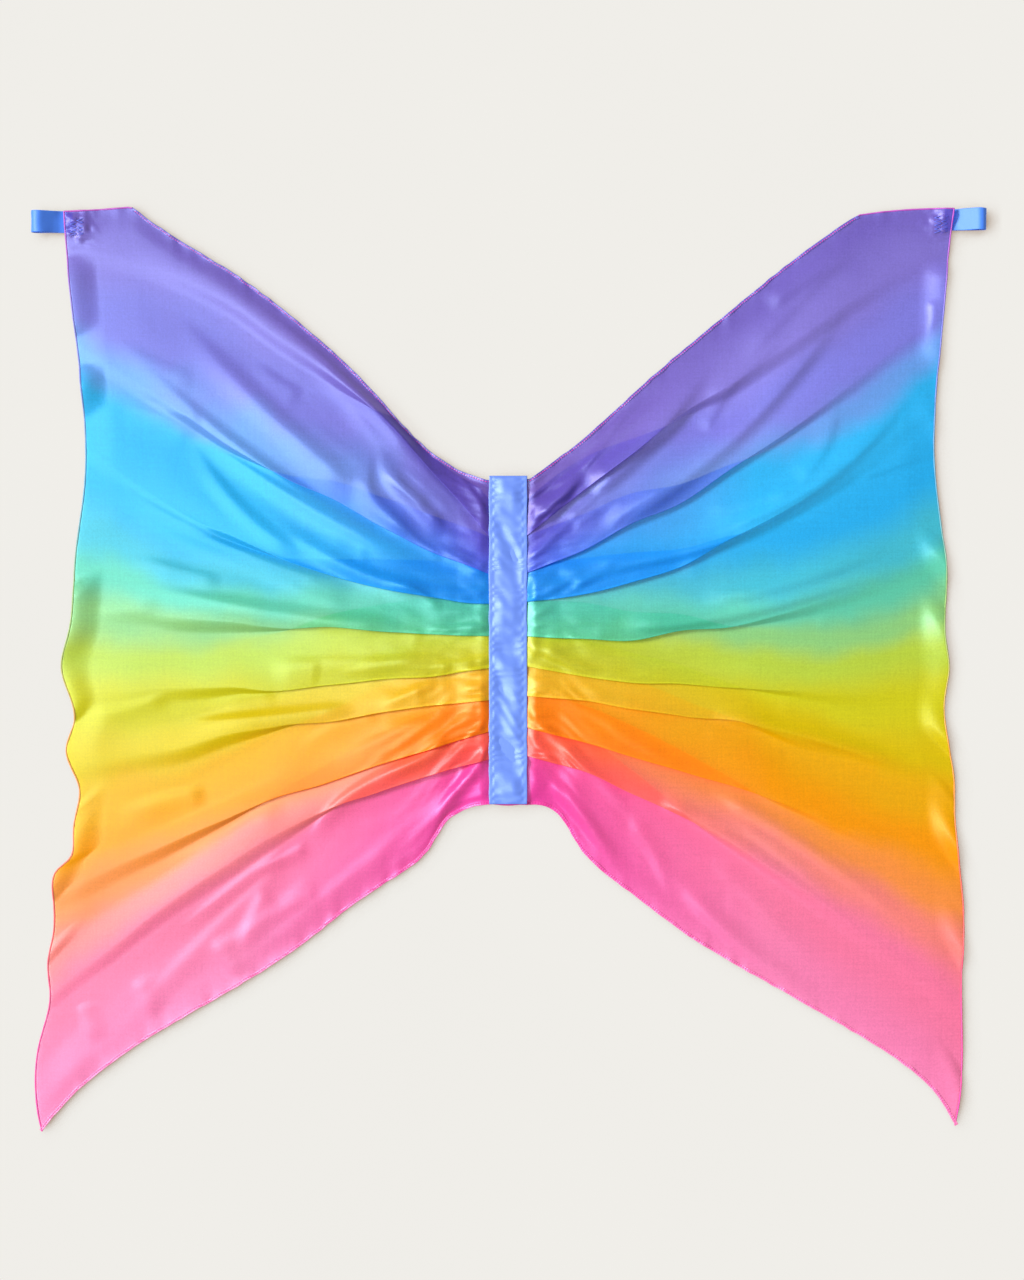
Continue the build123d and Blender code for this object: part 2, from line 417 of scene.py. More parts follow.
def fold_keys(outline, share):
    """Heights, forward reliefs and dye places of the sheet's keys, each as (keys, columns).

    The keys are the top edge, then each pleat's lip and the crease behind it, then the bottom.
    """
    pleats = PLEATS[outline.name]
    span_top = outline.top(outline.start + share * (outline.corner_out - outline.start))
    span_bottom = outline.bottom(outline.start + share * (outline.tip_out - outline.start))
    cloth_height = outline.edge_high - outline.edge_low
    band_drop = span_top[0] - span_bottom[0]
    hidden = (cloth_height - band_drop) / (2 * len(pleats))
    flat = np.zeros_like(share)
    heights, reliefs, band_dye = [span_top], [flat], [0.0]
    last_band = span_top[0]
    held = smooth_step(share / WANDER_FADE) * smooth_step((1 - share) / WANDER_FADE)
    for row, pleat in enumerate(pleats):
        lip_band, lip_middle, lip_edge = (height * MM for height in pleat[:3])
        wander = soft_noise(share, 0 * share, WANDER_CELLS, 1, outline.seed + 40 + row)
        lip = through_three(share, lip_band, lip_middle, lip_edge) + LIP_WANDER * wander * held
        opening = smooth_step((share / pleat.lap - 0.1) / 0.9)
        highest = span_top - TOP_ROOM * (span_top - lip)
        crease = np.minimum(lip + hidden * (1 - 2 * opening), highest)
        heights += [lip, crease]
        reliefs += [lip_relief(share, pleat.crest), flat]
        band_dye.append(band_dye[-1] + (last_band - lip_band) / cloth_height)
        band_dye.append(band_dye[-1] + hidden / cloth_height)
        last_band = lip_band + hidden
    heights = np.array(heights + [span_bottom])
    reliefs = np.array(reliefs + [flat])
    edge_dye = (outline.edge_high - heights[:, -1]) / cloth_height
    return heights, reliefs, key_dyes(share, np.array(band_dye + [1.0]), edge_dye)


def silk_floor(out):
    """How far back the silk's rear layer lies: between the ribbons at the band, then at rest."""
    settled = smooth_step((out - band_half_width) / SETTLE_LENGTH)
    return PINCHED_FLOOR + (SILK_FLOOR - PINCHED_FLOOR) * settled


def crest_line(fold, count=14):
    """Points along the smooth curve through the fold's three."""
    near, middle, far = np.array(fold[:3]) * MM
    return through_three(np.linspace(0, 1, count)[:, None], near, middle, far)


def fold_lift(outline, out, height, fold):
    """How far one fold lifts each point: steep on one side of its crest, fading at its ends.

    The steep side is the upper one on the left wing and the lower one on the right wing.
    """
    line = crest_line(fold)
    nearest = np.full(out.shape, np.inf)
    signed = np.zeros(out.shape)
    taper = np.zeros(out.shape)
    for step, (start, end) in enumerate(zip(line, line[1:])):
        run = end - start
        share = (out - start[0]) * run[0] + (height - start[1]) * run[1]
        share = np.clip(share / (run @ run), 0, 1)
        beside_out = out - start[0] - share * run[0]
        beside_up = height - start[1] - share * run[1]
        away = np.hypot(beside_out, beside_up)
        closer = away < nearest
        nearest = np.where(closer, away, nearest)
        above = np.sign(run[0] * beside_up - run[1] * beside_out)
        signed = np.where(closer, above * away, signed)
        along = (step + share) / (len(line) - 1)
        fade = smooth_step(along / FOLD_FADE_IN) * smooth_step((1 - along) / FOLD_FADE_OUT)
        taper = np.where(closer, fade, taper)
    steep = signed * -outline.side > 0
    width = fold.width * MM * np.where(steep, STEEP_SIDE, GENTLE_SIDE)
    return FOLD_STRENGTH * fold.lift * MM * taper * np.exp(-(nearest / width) ** 2)


def small_folds(outline, seed, count, reach, length, width, lift):
    """Small random folds that run outward, like the fan of the pleats; each range is in mm."""
    chance = np.random.default_rng(outline.seed + seed)
    folds = []
    for _ in range(count):
        out = chance.uniform(*reach)
        fan = chance.uniform(0.05, 0.95)
        half = chance.uniform(*length) / 2
        top, bottom = outline.top(out * MM) / MM, outline.bottom(out * MM) / MM
        height = top + (bottom - top) * fan
        slope = (height / (out - FAN_CENTRE)) * FAN_PULL + chance.uniform(-0.25, 0.25)
        bow = chance.uniform(-8, 8)
        near = (out - half, height - slope * half)
        far = (out + half, height + slope * half)
        folds.append(Fold(near, (out, height + bow), far,
                          chance.uniform(*width), chance.uniform(*lift)))
    return folds


def loose_folds(outline, share, fan, out, height):
    """Soft folds beyond the pleats, the same for every layer at one place."""
    lift = SWELL_HEIGHT * (0.7 + soft_noise(share, fan, 3, 12, outline.seed))
    wing_folds = small_folds(outline, 0, **WING_FOLDS)
    band_folds = small_folds(outline, 9, **BAND_FOLDS)
    for fold in FOLDS[outline.name] + wing_folds + band_folds:
        lift = lift + fold_lift(outline, out, height, fold)
    near_band = np.exp(-(out - outline.start) / GATHER_LENGTH)
    gathers = soft_noise(share, fan, 24, 70, outline.seed + 3) + 0.6
    lift = lift + GATHER_HEIGHT * gathers * near_band
    from_band = smooth_step((out - outline.start) / BAND_CLAMP)
    from_hems = 0.3 + 0.7 * smooth_step(fan / 0.03) * smooth_step((1 - fan) / 0.03)
    from_edge = 0.25 + 0.75 * smooth_step((1 - share) / 0.08)
    lift = np.maximum(lift, 0) * from_band * from_hems * from_edge
    return lift + edge_puckers(outline, share, fan, out, height)


def edge_puckers(outline, share, fan, out, height):
    """The puckers along the hems, the sides' loose curls and the crumpled corner at the tack."""
    from_top, from_bottom = height[0] - height, height - height[-1]
    near_hem = np.exp(-np.minimum(from_top, from_bottom) / PUCKER_REACH)
    gathered = soft_noise(share, fan, 48, 2, outline.seed + 4) + 0.7
    near_side = smooth_step((share - 1 + CURL_SPAN) / CURL_SPAN)
    curl = np.maximum(soft_noise(fan, 0 * share, 26, 1, outline.seed + 5) + 0.15, 0)
    edges = PUCKER_HEIGHT * gathered * near_hem + CURL_HEIGHT * curl * near_side
    from_band = smooth_step((out - outline.start) / BAND_CLAMP)
    return edges * from_band + corner_crumple(outline, out, height)


def corner_crumple(outline, out, height):
    """How the silk crumples where the finger loop is sewn under its corner."""
    tack_low, tack_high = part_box(f"{outline.name}_corner_tack")
    tack = (tack_low + tack_high) / 2
    beside, above = out - outline.side * tack.x, height - tack.z
    crush = soft_noise(beside / CRUMPLE_WINDOW + 0.5, above / CRUMPLE_WINDOW + 0.5, 15, 19,
                       outline.seed + 6)
    near_tack = np.exp(-(np.hypot(beside, above) / CRUMPLE_REACH) ** 2)
    return CRUMPLE_HEIGHT * (1 + crush) * near_tack


def sheet_points(outline):
    """Points (rows, columns, 3) of one wing's sheet, and the dye, share and fan of each point."""
    share = np.linspace(0, 1, SHEET_COLUMNS) ** COLUMN_CROWDING
    heights, reliefs, dyes = fold_keys(outline, share)
    height, relief, dye = [], [], []
    for key, step in sheet_rows(PLEATS[outline.name]):
        sweep = (1 - math.cos(math.pi * step)) / 2
        is_turn = key % 2 == 1
        bend = smooth_step(np.array(1.9 * sweep if is_turn else sweep))
        height.append(heights[key] + (heights[key + 1] - heights[key]) * sweep)
        relief.append(reliefs[key] + (reliefs[key + 1] - reliefs[key]) * bend)
        dye.append(dyes[key] + (dyes[key + 1] - dyes[key]) * sweep)
    height, relief, dye = np.array(height), np.array(relief), np.array(dye)
    edge_out = outline.edge(height[:, -1])
    out = outline.start + share[None, :] * (edge_out[:, None] - outline.start)
    top, bottom = height[0][None, :], height[-1][None, :]
    fan = (top - height) / (top - bottom)
    share = share[None, :] + 0 * fan
    y = silk_floor(out) - relief - loose_folds(outline, share, fan, out, height)
    points = np.stack([outline.side * out, y, height], axis=-1)
    return points, {"dye": dye, "share": share, "fan": fan}


# ---- Meshes

def make_piece(name, points, faces, material, node, closed=True, attributes=None):
    """A smooth mesh that stands for a CAD node, whose own mesh it hides."""
    mesh = bpy.data.meshes.new(name)
    mesh.from_pydata(np.reshape(points, (-1, 3)).tolist(), [], faces)
    if closed:
        turn_outward(mesh)
    mesh.shade_smooth()
    mesh.materials.append(materials[material])
    for label, values in (attributes or {}).items():
        attribute = mesh.attributes.new(label, "FLOAT", "POINT")
        attribute.data.foreach_set("value", np.asarray(values, np.float32).ravel())
    piece = bpy.data.objects.new(name, mesh)
    bpy.context.scene.collection.objects.link(piece)
    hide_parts(node)
    return piece


def turn_outward(mesh):
    shell = bmesh.new()
    shell.from_mesh(mesh)
    bmesh.ops.recalc_face_normals(shell, faces=shell.faces)
    shell.to_mesh(mesh)
    shell.free()


def grid_faces(rows, columns, flip=False):
    faces = []
    for row in range(rows - 1):
        for column in range(columns - 1):
            a = row * columns + column
            face = (a, a + 1, a + columns + 1, a + columns)
            faces.append(face[::-1] if flip else face)
    return faces


def tube_faces(rows, around, ring=False):
    """Faces of a tube of rows, each with around points: a closed ring, or capped at both ends."""
    faces = []
    for row in range(rows if ring else rows - 1):
        after = (row + 1) % rows
        for j in range(around):
            k = (j + 1) % around
            faces.append((row * around + j, row * around + k,
                          after * around + k, after * around + j))
    if not ring:
        faces.append(tuple(range(around)))
        faces.append(tuple((rows - 1) * around + j for j in range(around)))
    return faces


def tube_points(centres, across, outward, section):
    """Points (rows, around, 3): a section, (around, 2) or one a row, carried along centres."""
    section = np.broadcast_to(section, (len(centres),) + np.shape(section)[-2:])
    sideways = section[..., :1] * np.reshape(across, (-1, 1, 3))
    return centres[:, None] + sideways + section[..., 1:] * np.reshape(outward, (-1, 1, 3))


def flat_sections(rows, near, far, half_thickness, count=9):
    """The same ribbon section in each row: rounded edges, and count points on each face."""
    turn = np.linspace(-1, 1, count)
    place = (near + far) / 2 + (far - near) / 2 * np.sin(turn * math.pi / 2)
    thick = half_thickness * np.sqrt(1 - 0.9 * np.abs(turn) ** 6)
    front = np.stack([place, thick], axis=-1)
    back = np.stack([place, -thick], axis=-1)[::-1]
    return np.repeat(np.concatenate([front, back])[None], rows, 0)


def round_section(radius, count=8):
    turn = np.arange(count) * 2 * math.pi / count
    return radius * np.stack([np.cos(turn), np.sin(turn)], axis=-1)


def places_along(path, length, at):
    """The path's points at the distances at, where length is each of its own points' distance."""
    return np.stack([np.interp(at, length, column) for column in path.T], axis=-1)


def resampled(path, spacing):
    """The path, of (x, y, z, dye), at even spacing, and each point's distance along it."""
    steps = np.linalg.norm(np.diff(path[:, :3], axis=0), axis=1)
    length = np.concatenate([[0], np.cumsum(steps)])
    count = max(int(length[-1] / spacing), 2)
    at = np.linspace(0, length[-1], count + 1)
    return places_along(path, length, at), at


def inward_of(path, hint):
    """The direction square to the path in the X-Z plane, on the side that hint points to."""
    tangent = np.gradient(path[:, :3], axis=0)
    square = unit(np.stack([-tangent[:, 2], 0 * tangent[:, 0], tangent[:, 0]], axis=-1))
    return square * np.sign((square @ np.asarray(hint)).sum())


def make_stitches(name, starts, ends, lift, radius, material, node):
    """Short threads, each bowed up by lift along FORWARD from its start to its end."""
    stations = np.array([-1, -0.8, -0.35, 0.35, 0.8, 1.0])
    width = np.array([0.3, 0.85, 1, 1, 0.85, 0.3])
    section = round_section(1.0, 6)
    along = unit(ends - starts)
    sideways = unit(np.cross(along, FORWARD))
    centre = (starts + ends) / 2
    half = np.linalg.norm(ends - starts, axis=1)[:, None] / 2
    rings = []
    for station, share in zip(stations, width):
        bow = lift * (1 - station ** 2)
        middle = centre + along * half * station + FORWARD * bow
        rings.append(tube_points(middle, sideways, FORWARD, section * radius * share))
    points = np.stack(rings, axis=1)
    single = tube_faces(len(stations), len(section))
    size = len(stations) * len(section)
    faces = [tuple(v + stitch * size for v in face)
             for stitch in range(len(starts)) for face in single]
    return make_piece(name, points, faces, material, node)


# ---- Pieces

def thicken(piece, thickness):
    solid = piece.modifiers.new("thickness", "SOLIDIFY")
    solid.thickness = thickness
    solid.offset = 0


def bend_at_wing_fold(piece):
    """Bakes a soft piece's placement into its mesh; the piece is not bent about its wing's hinge."""
    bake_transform(piece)


def make_wing_silk(outline, points, attributes):
    rows, columns = points.shape[:2]
    faces = grid_faces(rows, columns, flip=outline.side < 0)
    piece = make_piece(f"{outline.name}_silk_sheet", points, faces, "silk",
                       f"{outline.name}_wing_silk", closed=False, attributes=attributes)
    thicken(piece, SILK_THICKNESS)
    bend_at_wing_fold(piece)


def boundary(points, attributes, rows, columns):
    """The sheet's points and dye along part of its edge, as a path of (x, y, z, dye)."""
    edge = points[rows, columns].reshape(-1, 3)
    return np.column_stack([edge, attributes["dye"][rows, columns].ravel()])


def make_turned_hem(outline, edge, path, hint, seed):
    """A narrow hem, turned and topstitched, that puckers between its stitches."""
    path, at = resampled(path, 0.65 * MM)
    inward = inward_of(path, hint)
    place = at / at[-1]
    bumps = int(at[-1] / (9 * MM))
    wave = soft_noise(place, 0 * place, bumps, 1, seed)
    gather = soft_noise(place, 0 * place, 2 * bumps, 1, seed + 1)
    between_stitches = np.cos(2 * math.pi * at / HEM_STITCH_PITCH)
    centres = path[:, :3] + inward * (HEM_WAVE * wave)[:, None]
    section = flat_sections(len(at), -HEM_OVERHANG, HEM_WIDTH, HEM_THICKNESS / 2)
    groove = np.exp(-((section[..., 0] - HEM_SEAM) / (0.6 * MM)) ** 2)
    front = section[..., 1] > 0
    lift = (0.35 * gather + 0.12 * between_stitches)[:, None] * (1 - groove) - 0.15 * groove
    section[..., 1] += np.where(front, lift * MM, 0)
    points = tube_points(centres, inward, FORWARD, section)
    dye = np.repeat(path[:, 3:], section.shape[1], axis=1)
    share = (outline.side * points[..., 0] - outline.start) / (outline.tip_out - outline.start)
    name = f"{outline.name}_{edge}"
    hem = make_piece(f"{name}_turned_hem", points, tube_faces(*points.shape[:2]), "hem",
                     f"{name}_hem", attributes={"dye": dye, "share": share})
    bend_at_wing_fold(hem)
    make_hem_stitches(name, centres + inward * HEM_SEAM, at)


def make_hem_stitches(name, seam, at):
    line = seam + FORWARD * HEM_THICKNESS * 0.42
    middles = np.arange(at[0] + HEM_STITCH_PITCH, at[-1] - HEM_STITCH_PITCH, HEM_STITCH_PITCH)
    reach = 0.34 * HEM_STITCH_PITCH
    starts, ends = (places_along(line, at, middles + step) for step in (-reach, reach))
    piece = make_stitches(f"{name}_topstitch", starts, ends, 0.16 * MM,
                          HEM_STITCH_RADIUS, "hem_thread", f"{name}_stitch")
    bend_at_wing_fold(piece)


def make_rolled_hem(outline, edge, path, hint, seed):
    """A fine rolled edge, wrapped in overlock thread."""
    path, at = resampled(path, 0.55 * MM)
    inward = inward_of(path, hint)
    around = 8
    angle = np.arange(around) * 2 * math.pi / around
    wraps = np.sin((2 * math.pi * at / ROLLED_WRAP_PITCH)[:, None] + angle)
    bumps = int(at[-1] / (6 * MM))
    uneven = soft_noise(at / at[-1], 0 * at, bumps, 1, seed)
    radius = ROLLED_RADIUS * (1 + 0.14 * wraps + 0.16 * uneven[:, None])
    section = round_section(1.0, around) * radius[..., None]
    centres = path[:, :3] + inward * 0.3 * ROLLED_RADIUS
    points = tube_points(centres, inward, FORWARD, section)
    dye = np.repeat(path[:, 3:], around, axis=1)
    name = f"{outline.name}_{edge}"
    hem = make_piece(f"{name}_rolled_edge", points, tube_faces(*points.shape[:2]),
                     "edge_thread", f"{name}_rolled_hem", attributes={"dye": dye})
    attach(hem, f"{outline.name}_wing")


def make_hems(outline, points, attributes):
    top = boundary(points, attributes, 0, slice(None))
    is_neck = outline.side * top[:, 0] < outline.apex_out
    neck, short_top = top[is_neck], top[~is_neck]
    short_top = np.concatenate([neck[-1:], short_top])
    tail = boundary(points, attributes, -1, slice(None))
    side = boundary(points, attributes, slice(None), -1)
    seed = outline.seed
    toward_band = -outline.side * ACROSS
    make_turned_hem(outline, "neck", neck, -UP, seed + 20)
    make_turned_hem(outline, "tail", tail, UP, seed + 22)
    make_rolled_hem(outline, "top", short_top, -UP, seed + 24)
    make_rolled_hem(outline, "side", side, toward_band, seed + 25)


def make_pleat_stack(sheets):
    """The folded silk that runs from wing to wing between the two ribbons."""
    left, right = (sheets[name][0][:, 0] for name in SIDES)
    left_dye, right_dye = (sheets[name][1]["dye"][:, 0] for name in SIDES)
    share = np.linspace(0, 1, 9)[:, None]
    points = left[:, None] * (1 - share) + right[:, None] * share
    dye = left_dye[:, None] * (1 - share.T) + right_dye[:, None] * share.T
    rows, columns = points.shape[:2]
    below = 1.6 * MM * np.sin(math.pi * share[:, 0])
    points[-1, :, 2] = np.minimum(points[-1, :, 2], band_low.z - below)
    fan = np.repeat(np.linspace(0, 1, rows)[:, None], columns, axis=1)
    piece = make_piece("spine_pleat_sheet", points, grid_faces(rows, columns), "silk",
                       "spine_pleats", closed=False,
                       attributes={"dye": dye, "share": 0 * dye, "fan": fan})
    thicken(piece, SILK_THICKNESS)
    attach(piece, "spine")


def band_relief(across, inside, down, height, seed):
    """How far the band's face stands up: puckers along the stitches, and slanted wrinkles.

    across runs from -1 to 1 and down from 0 to 1; inside is the distance in from a stitch row.
    """
    phase = 2 * math.pi * down * height / BAND_PUCKER_PITCH
    phase = phase + 4 * soft_noise(down, 0 * down, 24, 1, seed)
    reach = smooth_step(inside / (2.6 * MM)) * np.exp(-np.maximum(inside, 0) / (5 * MM))
    pucker = 0.5 * np.cos(phase + 2.2 * across) * reach
    groove = -0.06 * np.exp(-(inside / MM) ** 2)
    flange = 0.1 * np.cos(phase) * smooth_step(-inside / (2 * MM))
    place = (across + 1) / 2
    slant = np.clip(down + across * (0.02 * np.cos(13 * down) - 0.035), 0, 1)
    middle = smooth_step(inside / (12 * MM))
    wrinkle = 2.6 * soft_noise(place, slant, 1, 17, seed + 1) * middle
    fine = 0.5 * soft_noise(place, slant, 3, 40, seed + 2) * middle
    ends = smooth_step(np.minimum(down, 1 - down) * height / (2.5 * MM))
    return (pucker + groove + wrinkle + fine + flange + 0.3) * ends * MM


def make_band_ribbon(name, node, outward, seed):
    """A satin ribbon, puckered along its two rows of stitches and wrinkled across."""
    low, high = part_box(node)
    height = high.z - low.z
    rows = 361
    down = np.linspace(0, 1, rows)[:, None]
    section = flat_sections(rows, low.x, high.x, (high.y - low.y) / 2, 41)
    across = section[..., 0] / high.x
    inside = band_half_width - np.abs(section[..., 0]) - BAND_STITCH_INSET
    relief = band_relief(across, inside, down, height, seed)
    section[..., 1] += np.where(section[..., 1] > 0, relief, 0)
    edge_wave = 0.35 * MM * soft_noise((across + 1) / 2, down, 1, 30, seed + 3)
    section[..., 0] += edge_wave * np.abs(across) ** 6
    centres = np.column_stack([0 * down, 0 * down + (low.y + high.y) / 2, high.z - down * height])
    points = tube_points(centres, ACROSS, outward, section)
    piece = make_piece(name, points, tube_faces(*points.shape[:2]), "band", node)
    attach(piece, "spine")


def make_band_stitches(name):
    """One long row of stitches, through both ribbons and the pleats between them."""
    node = f"spine_stitch_{name}"
    x = SIDES[name] * (band_half_width - BAND_STITCH_INSET)
    heights = np.arange(band_low.z + 2 * MM, band_high.z - 4 * MM, BAND_STITCH_PITCH)
    face = band_low.y + THREAD_RADIUS / 4
    starts = np.stack([x + 0 * heights, face + 0 * heights, heights], axis=-1)
    ends = starts + UP * 0.62 * BAND_STITCH_PITCH
    piece = make_stitches(f"spine_topstitch_{name}", starts, ends, 0.12 * MM, THREAD_RADIUS,
                          "band_thread", node)
    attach(piece, "spine")


def finger_loop_path(outline, name):
    """The ribbon's centre line at height 0: out from under the corner, round the bend and back."""
    low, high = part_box(name)
    radius = (high.y - low.y) / 2 - RIBBON_THICKNESS / 2
    bend_out = outline.reach(name) - radius - RIBBON_THICKNESS / 2
    bend_y = (low.y + high.y) / 2
    pinch_out = outline.side * hinge[name].x
    tail_out = pinch_out - 12 * MM
    turn = np.linspace(-1, 1, 41) * math.radians(100)
    bend = [(bend_out + radius * math.cos(a), bend_y - radius * math.sin(a)) for a in turn]
    back = high.y - RIBBON_THICKNESS / 2
    nearly = RIBBON_THICKNESS * 1.05
    path = [(tail_out, back), (pinch_out, back), *bend, (pinch_out, back - nearly),
            (tail_out, back - nearly)]
    path = np.array([(outline.side * out, y, 0, 0) for out, y in path])
    return resampled(smoothed(path), 0.8 * MM)


def make_finger_loop(outline):
    """A satin ribbon folded into a loop, its two ends sewn under the silk's corner."""
    name = f"{outline.name}_finger_loop"
    low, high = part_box(name)
    path, at = finger_loop_path(outline, name)
    tangent = unit(np.gradient(path[:, :3], axis=0))
    outward = np.cross(tangent, UP)
    half = (high.z - low.z) / 2
    section = flat_sections(len(at), -half, half, RIBBON_THICKNESS / 2, 15)
    place = (section[..., 0] / half + 1) / 2
    along = np.repeat((at / at[-1])[:, None], place.shape[1], axis=1)
    section[..., 1] += 0.35 * MM * soft_noise(along, place, 9, 2, outline.seed + 30)
    section[..., 0] += 0.3 * MM * soft_noise(along, place, 8, 1, outline.seed + 31)
    centres = path[:, :3] + UP * (low.z + half)
    points = tube_points(centres, UP, outward, section)
    piece = make_piece(f"{name}_ribbon", points, tube_faces(*points.shape[:2]), "loop", name)
    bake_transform(piece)


def smoothed(path):
    """The path resampled finely and averaged along its length, so that its corners round off."""
    fine, _ = resampled(path, 0.5 * MM)
    width = 9
    padded = np.concatenate([fine[:1].repeat(width, 0), fine, fine[-1:].repeat(width, 0)])
    window = np.ones(2 * width + 1) / (2 * width + 1)
    return np.stack([np.convolve(column, window, "valid") for column in padded.T], axis=-1)


def zigzag(centre, half_width, half_height, turns):
    """Start and end points of a zigzag's legs, from the top down."""
    sign = np.where(np.arange(turns + 1) % 2 == 0, 1, -1)
    heights = np.linspace(half_height, -half_height, turns + 1)
    points = np.array(centre) + sign[:, None] * half_width * ACROSS + heights[:, None] * UP
    return points[:-1], points[1:]


def laid_on(places, points, above):
    """The places moved to stand just above the sheet's nearest point."""
    sheet = points.reshape(-1, 3)
    laid = places.copy()
    for row, place in enumerate(places):
        nearest = np.hypot(*(sheet[:, [0, 2]] - place[[0, 2]]).T).argmin()
        laid[row, 1] = sheet[nearest, 1] - above
    return laid


def make_corner_tack(outline, points):
    """The zigzag stitching that holds the finger loop's ribbon under the silk's corner."""
    name = f"{outline.name}_corner_tack"
    low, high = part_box(name)
    half_width, half_height = (high.x - low.x) / 2, (high.z - low.z) / 2
    rows = []
    for offset in (-0.5, 0.5):
        centre = (low + high) / 2 + Vector((offset * half_width, 0, 0))
        rows.append(zigzag(centre, half_width / 2, half_height, 9))
    starts, ends = (laid_on(np.concatenate(pair), points, 0.35 * MM) for pair in zip(*rows))
    piece = make_stitches(f"{name}_thread", starts, ends, 0.25 * MM, 0.42 * MM,
                          "tack_thread", name)
    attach(piece, f"{outline.name}_wing")


def shoulder_loop_path(node):
    """The elastic's centre line at x 0: a long flat ring, seen from the side."""
    low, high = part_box(node)
    radius = (high.y - low.y) / 2 - ELASTIC_THICKNESS / 2
    centre_y = (low.y + high.y) / 2
    end_inset = radius + ELASTIC_THICKNESS / 2
    ends = (high.z - end_inset, low.z + end_inset)
    turn = np.linspace(0, math.pi, 17)
    path = [(0, centre_y - radius * math.cos(a), ends[0] + radius * math.sin(a)) for a in turn]
    path += [(0, centre_y + radius * math.cos(a), ends[1] - radius * math.sin(a)) for a in turn]
    path = np.array([(*p, 0) for p in path + path[:1]])
    path, at = resampled(path, 0.6 * MM)
    return path[:-1], at[:-1]


def make_shoulder_loop(name):
    """Ribbed elastic, folded double and laid flat behind the band."""
    node = f"{name}_shoulder_loop"
    low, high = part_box(node)
    half_width = (high.x - low.x) / 2
    path, at = shoulder_loop_path(node)
    tangent = unit(np.roll(path, -1, 0)[:, :3] - np.roll(path, 1, 0)[:, :3])
    outward = np.cross(ACROSS, tangent)
    section = flat_sections(len(at), -half_width, half_width, ELASTIC_THICKNESS / 2, 37)
    ribs = np.cos(section[..., 0] / half_width * math.pi * ELASTIC_CORDS)
    weave = np.sin(2 * math.pi * at / ELASTIC_WEAVE_PITCH)[:, None] * np.where(ribs > 0, 1, -1)
    face = np.sign(section[..., 1])
    section[..., 1] += face * (0.12 * ribs + 0.05 * weave - 0.1) * MM
    x = (low.x + high.x) / 2
    centres = path[:, :3] + x * ACROSS
    points = tube_points(centres, ACROSS, outward, section)
    faces = tube_faces(*points.shape[:2], ring=True)
    piece = make_piece(f"{name}_shoulder_elastic", points, faces, "elastic", node)
    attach(piece, node)


def make_shoulder_tack(name):
    """The bar tack that sews a shoulder loop to the band's back."""
    node = f"{name}_shoulder_tack"
    low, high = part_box(node)
    centre = (low + high) / 2
    half_width, half_height = (high.x - low.x) / 2, (high.z - low.z) / 2
    starts, ends = zigzag(centre, half_width, half_height, 11)
    piece = make_stitches(f"{name}_shoulder_bar_tack", starts, ends, 0.1 * MM, 0.24 * MM,
                          "band_thread", node)
    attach(piece, "spine")


# ---- Materials

class Nodes:
    """The node tree of a material or a world, with short ways to add and join nodes."""

    def __init__(self, owner, output="ShaderNodeOutputMaterial"):
        owner.use_nodes = True
        self.owner = owner
        self.tree = owner.node_tree
        self.tree.nodes.clear()
        self.output = self.add(output)

    def add(self, kind, values=None, **settings):
        node = self.tree.nodes.new(kind)
        for key, value in settings.items():
            setattr(node, key, value)
        for key, value in (values or {}).items():
            if isinstance(value, bpy.types.NodeSocket):
                self.tree.links.new(value, node.inputs[key])
            else:
                node.inputs[key].default_value = value
        return node

    def ramp(self, factor, stops):
        """The colour at factor along stops, each a (place, display colour)."""
        node = self.add("ShaderNodeValToRGB", {"Fac": factor})
        node.color_ramp.interpolation = "EASE"
        elements = node.color_ramp.elements
        while len(elements) < len(stops):
            elements.new(0.5)
        for element, (place, colour) in zip(elements, stops):
            element.position = place
            element.color = srgb(*colour)
        return node.outputs["Color"]

    def attribute(self, name):
        return self.add("ShaderNodeAttribute", attribute_name=name).outputs["Fac"]

    def behind(self):
        """1 where a surface is seen from its back, else 0."""
        return self.add("ShaderNodeNewGeometry").outputs["Backfacing"]

    def noise(self, scale, stretch=(1, 1, 1), detail=2.0):
        vector = self.add("ShaderNodeTexCoord").outputs["Object"]
        mapped = self.add("ShaderNodeMapping", {"Vector": vector, "Scale": stretch})
        values = {"Vector": mapped.outputs["Vector"], "Scale": scale, "Detail": detail}
        return self.add("ShaderNodeTexNoise", values).outputs["Fac"]

    def fit(self, value, low, high, start=0.0, end=1.0):
        """A value that runs from start to end, stretched to run from low to high."""
        values = {"Value": value, "From Min": start, "From Max": end, "To Min": low, "To Max": high}
        return self.add("ShaderNodeMapRange", values).outputs["Result"]

    def mix(self, factor, first, second):
        """The first colour where factor is 0, the second where it is 1."""
        values = {0: factor, 6: first, 7: second}
        return self.add("ShaderNodeMix", values, data_type="RGBA").outputs[2]

    def shade(self, colour, factor):
        """The colour with its brightness multiplied by factor."""
        values = {"Color": colour, "Value": factor}
        return self.add("ShaderNodeHueSaturation", values).outputs["Color"]

    def bump(self, height, distance, strength=1.0):
        values = {"Height": height, "Distance": distance, "Strength": strength}
        return self.add("ShaderNodeBump", values).outputs["Normal"]

    def layered(self, factor, first, second):
        """The first shader where factor is 0, the second where it is 1."""
        values = {0: factor, 1: first.outputs[0], 2: second.outputs[0]}
        return self.add("ShaderNodeMixShader", values)

    def finish(self, shader):
        self.tree.links.new(shader.outputs[0], self.output.inputs["Surface"])
        return self.owner


def dye_and_band_shade(n, place):
    """The dye at a place down the cloth, with painted shade: that of the gathers at the band, then
    the wing's own.
    """
    gathered = n.fit(n.attribute("share"), 1, 0, *GATHERED_SPAN)
    return n.mix(gathered, n.ramp(place, DYE), n.ramp(place, DYE_AND_SHADE_AT_BAND))


